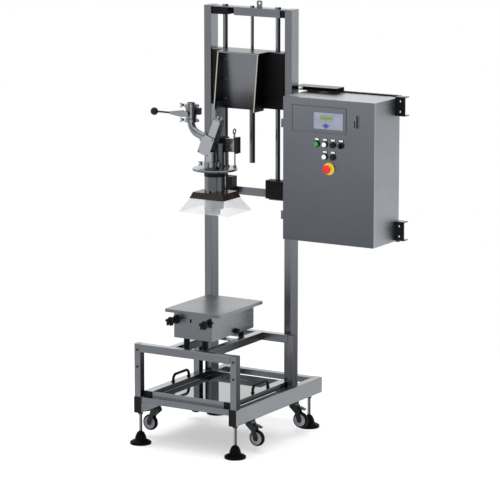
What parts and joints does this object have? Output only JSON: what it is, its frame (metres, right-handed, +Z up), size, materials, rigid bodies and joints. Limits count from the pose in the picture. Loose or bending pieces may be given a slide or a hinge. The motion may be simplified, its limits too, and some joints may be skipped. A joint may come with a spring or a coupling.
{
  "type": "semi-automatic filling machine",
  "caption": "Wheeled stainless filling machine with drip tray, scale, lift carriage, nozzle head with splash hood and a side control cabinet.",
  "frame": {"origin": "on the floor under the centre of the base frame", "axes": "+Z up, +X to the right as seen from the operator, +Y to the back, towards the column"},
  "size_m": [1.184, 0.8555, 2.134],
  "materials": {
    "brushed_stainless": "brushed stainless",
    "bright_stainless": "ground bright",
    "polished_tray": "mirror ground sheet",
    "chromed_rod": "ground and chromed",
    "black_nylon": "moulded, satin",
    "black_gloss_plastic": "moulded, glossy",
    "black_rubber": "matt",
    "grey_tread": "moulded wheel",
    "zinc_steel": "black coated",
    "clear_pvc": "clear sheet",
    "smoked_acrylic": "smoked brown sheet",
    "white_plastic": "satin",
    "green_plastic": "glossy",
    "red_plastic": "glossy",
    "yellow_plastic": "satin",
    "cast_aluminium": "anodised",
    "keypad_film": "membrane"
  },
  "bodies": {
    "frame": {"base_side_beams": "brushed_stainless", "beam_end_caps": "black_nylon", "base_crossbars": "brushed_stainless", "table_posts": "brushed_stainless", "table_rails": "brushed_stainless", "frame_bolts": "bright_stainless", "column_posts": "brushed_stainless", "column_beams": "brushed_stainless", "rod_blocks": "black_nylon", "column_rods": "chromed_rod", "cabinet_mounts": "zinc_steel", "cabinet_body": "brushed_stainless", "scale_housing": "brushed_stainless", "scale_platform": "brushed_stainless", "scale_feet": "black_rubber"},
    "carriage": {"carriage_plates": "brushed_stainless", "guide_blocks": "black_nylon", "lift_barrel": "bright_stainless", "head_arm": "brushed_stainless", "arm_drum": "black_gloss_plastic", "nozzle_barrel": "bright_stainless", "nozzle_collar": "black_nylon", "hood_band": "smoked_acrylic", "splash_hood": "clear_pvc", "filling_valve": "cast_aluminium", "inlet_elbow": "bright_stainless", "butterfly_body": "bright_stainless", "pipe_clamps": "bright_stainless"},
    "valve_handle": {"valve_lever": "bright_stainless", "lever_knob": "black_gloss_plastic"},
    "plunger": {"nozzle_plunger": "bright_stainless"},
    "drip_tray": {"tray_pan": "polished_tray", "tray_handles": "black_nylon"},
    "door": {"cabinet_door": "brushed_stainless", "keypad_unit": "keypad_film", "control_bezels": "black_gloss_plastic", "legend_plates": "white_plastic", "stop_collar": "yellow_plastic"},
    "latch": {"door_latch": "cast_aluminium"},
    "start_button": {"start_button": "green_plastic"},
    "white_button_upper": {"white_button_upper": "white_plastic"},
    "black_button_upper": {"black_button_upper": "black_gloss_plastic"},
    "white_button_lower": {"white_button_lower": "white_plastic"},
    "black_button_lower": {"black_button_lower": "black_gloss_plastic"},
    "selector_switch": {"selector_switch": "black_gloss_plastic"},
    "stop_button": {"stop_button": "red_plastic"},
    "star_knobs_left": {"star_knobs_left": "black_nylon"},
    "star_knobs_right": {"star_knobs_right": "black_nylon"},
    "levelling_foot_fl": {"levelling_foot_fl": "black_nylon"},
    "levelling_foot_fr": {"levelling_foot_fr": "black_nylon"},
    "levelling_foot_bl": {"levelling_foot_bl": "black_nylon"},
    "levelling_foot_br": {"levelling_foot_br": "black_nylon"},
    "castor_fork_fl": {"castor_fork_fl": "zinc_steel"},
    "castor_wheel_fl": {"castor_wheel_fl": "grey_tread"},
    "castor_fork_fr": {"castor_fork_fr": "zinc_steel"},
    "castor_wheel_fr": {"castor_wheel_fr": "grey_tread"},
    "castor_fork_bl": {"castor_fork_bl": "zinc_steel"},
    "castor_wheel_bl": {"castor_wheel_bl": "grey_tread"},
    "castor_fork_br": {"castor_fork_br": "zinc_steel"},
    "castor_wheel_br": {"castor_wheel_br": "grey_tread"}
  },
  "joints": [
    {"name": "carriage_lift", "type": "slide", "parent": "frame", "child": "carriage", "axis": [0, 0, 1], "range_m": [-0.35, 0.15]},
    {"name": "inlet_lever", "type": "hinge", "parent": "carriage", "child": "valve_handle", "pos_m": [-0.129, -0.193, 1.612], "axis": [0, 1, 0], "range_deg": [0, 90]},
    {"name": "plunger_stroke", "type": "slide", "parent": "carriage", "child": "plunger", "axis": [0, 0, 1], "range_m": [-0.015, 0]},
    {"name": "tray_slide", "type": "slide", "parent": "frame", "child": "drip_tray", "axis": [0, -1, 0], "range_m": [0, 0.4]},
    {"name": "door_hinge", "type": "hinge", "parent": "frame", "child": "door", "pos_m": [0.278, 0.037, 1.35], "axis": [0, 0, -1], "range_deg": [0, 95]},
    {"name": "latch_turn", "type": "hinge", "parent": "door", "child": "latch", "pos_m": [0.684, 0.037, 1.624], "axis": [0, 1, 0], "range_deg": [0, 90]},
    {"name": "start_button_press", "type": "slide", "parent": "door", "child": "start_button", "axis": [0, 1, 0], "range_m": [0, 0.0035], "stiffness_N_per_m": 600, "springref_m": -0.002},
    {"name": "white_button_upper_press", "type": "slide", "parent": "door", "child": "white_button_upper", "axis": [0, 1, 0], "range_m": [0, 0.0035], "stiffness_N_per_m": 600, "springref_m": -0.002},
    {"name": "black_button_upper_press", "type": "slide", "parent": "door", "child": "black_button_upper", "axis": [0, 1, 0], "range_m": [0, 0.0035], "stiffness_N_per_m": 600, "springref_m": -0.002},
    {"name": "white_button_lower_press", "type": "slide", "parent": "door", "child": "white_button_lower", "axis": [0, 1, 0], "range_m": [0, 0.0035], "stiffness_N_per_m": 600, "springref_m": -0.002},
    {"name": "black_button_lower_press", "type": "slide", "parent": "door", "child": "black_button_lower", "axis": [0, 1, 0], "range_m": [0, 0.0035], "stiffness_N_per_m": 600, "springref_m": -0.002},
    {"name": "selector_turn", "type": "hinge", "parent": "door", "child": "selector_switch", "pos_m": [0.604, 0.037, 1.484], "axis": [0, 1, 0], "range_deg": [-45, 45]},
    {"name": "stop_press", "type": "slide", "parent": "door", "child": "stop_button", "axis": [0, 1, 0], "range_m": [0, 0.004]},
    {"name": "star_knobs_left_turn", "type": "hinge", "parent": "frame", "child": "star_knobs_left", "pos_m": [-0.095, -0.355, 0.63], "axis": [0, 1, 0], "continuous": true},
    {"name": "star_knobs_right_turn", "type": "hinge", "parent": "frame", "child": "star_knobs_right", "pos_m": [0.095, -0.355, 0.63], "axis": [0, 1, 0], "continuous": true},
    {"name": "levelling_foot_fl_screw", "type": "slide", "parent": "frame", "child": "levelling_foot_fl", "axis": [0, 0, 1], "range_m": [-0.02, 0.04]},
    {"name": "levelling_foot_fr_screw", "type": "slide", "parent": "frame", "child": "levelling_foot_fr", "axis": [0, 0, 1], "range_m": [-0.02, 0.04]},
    {"name": "levelling_foot_bl_screw", "type": "slide", "parent": "frame", "child": "levelling_foot_bl", "axis": [0, 0, 1], "range_m": [-0.02, 0.04]},
    {"name": "levelling_foot_br_screw", "type": "slide", "parent": "frame", "child": "levelling_foot_br", "axis": [0, 0, 1], "range_m": [-0.02, 0.04]},
    {"name": "castor_swivel_fl", "type": "hinge", "parent": "frame", "child": "castor_fork_fl", "pos_m": [-0.27, -0.243, 0.15], "axis": [0, 0, 1], "continuous": true},
    {"name": "castor_roll_fl", "type": "hinge", "parent": "castor_fork_fl", "child": "castor_wheel_fl", "pos_m": [-0.306, -0.243, 0.072], "axis": [0, 1, 0], "continuous": true},
    {"name": "castor_swivel_fr", "type": "hinge", "parent": "frame", "child": "castor_fork_fr", "pos_m": [0.27, -0.243, 0.15], "axis": [0, 0, 1], "continuous": true},
    {"name": "castor_roll_fr", "type": "hinge", "parent": "castor_fork_fr", "child": "castor_wheel_fr", "pos_m": [0.306, -0.243, 0.072], "axis": [0, 1, 0], "continuous": true},
    {"name": "castor_swivel_bl", "type": "hinge", "parent": "frame", "child": "castor_fork_bl", "pos_m": [-0.27, 0.177, 0.15], "axis": [0, 0, 1], "continuous": true},
    {"name": "castor_roll_bl", "type": "hinge", "parent": "castor_fork_bl", "child": "castor_wheel_bl", "pos_m": [-0.306, 0.177, 0.072], "axis": [0, 1, 0], "continuous": true},
    {"name": "castor_swivel_br", "type": "hinge", "parent": "frame", "child": "castor_fork_br", "pos_m": [0.27, 0.177, 0.15], "axis": [0, 0, 1], "continuous": true},
    {"name": "castor_roll_br", "type": "hinge", "parent": "castor_fork_br", "child": "castor_wheel_br", "pos_m": [0.306, 0.177, 0.072], "axis": [0, 1, 0], "continuous": true}
  ]
}
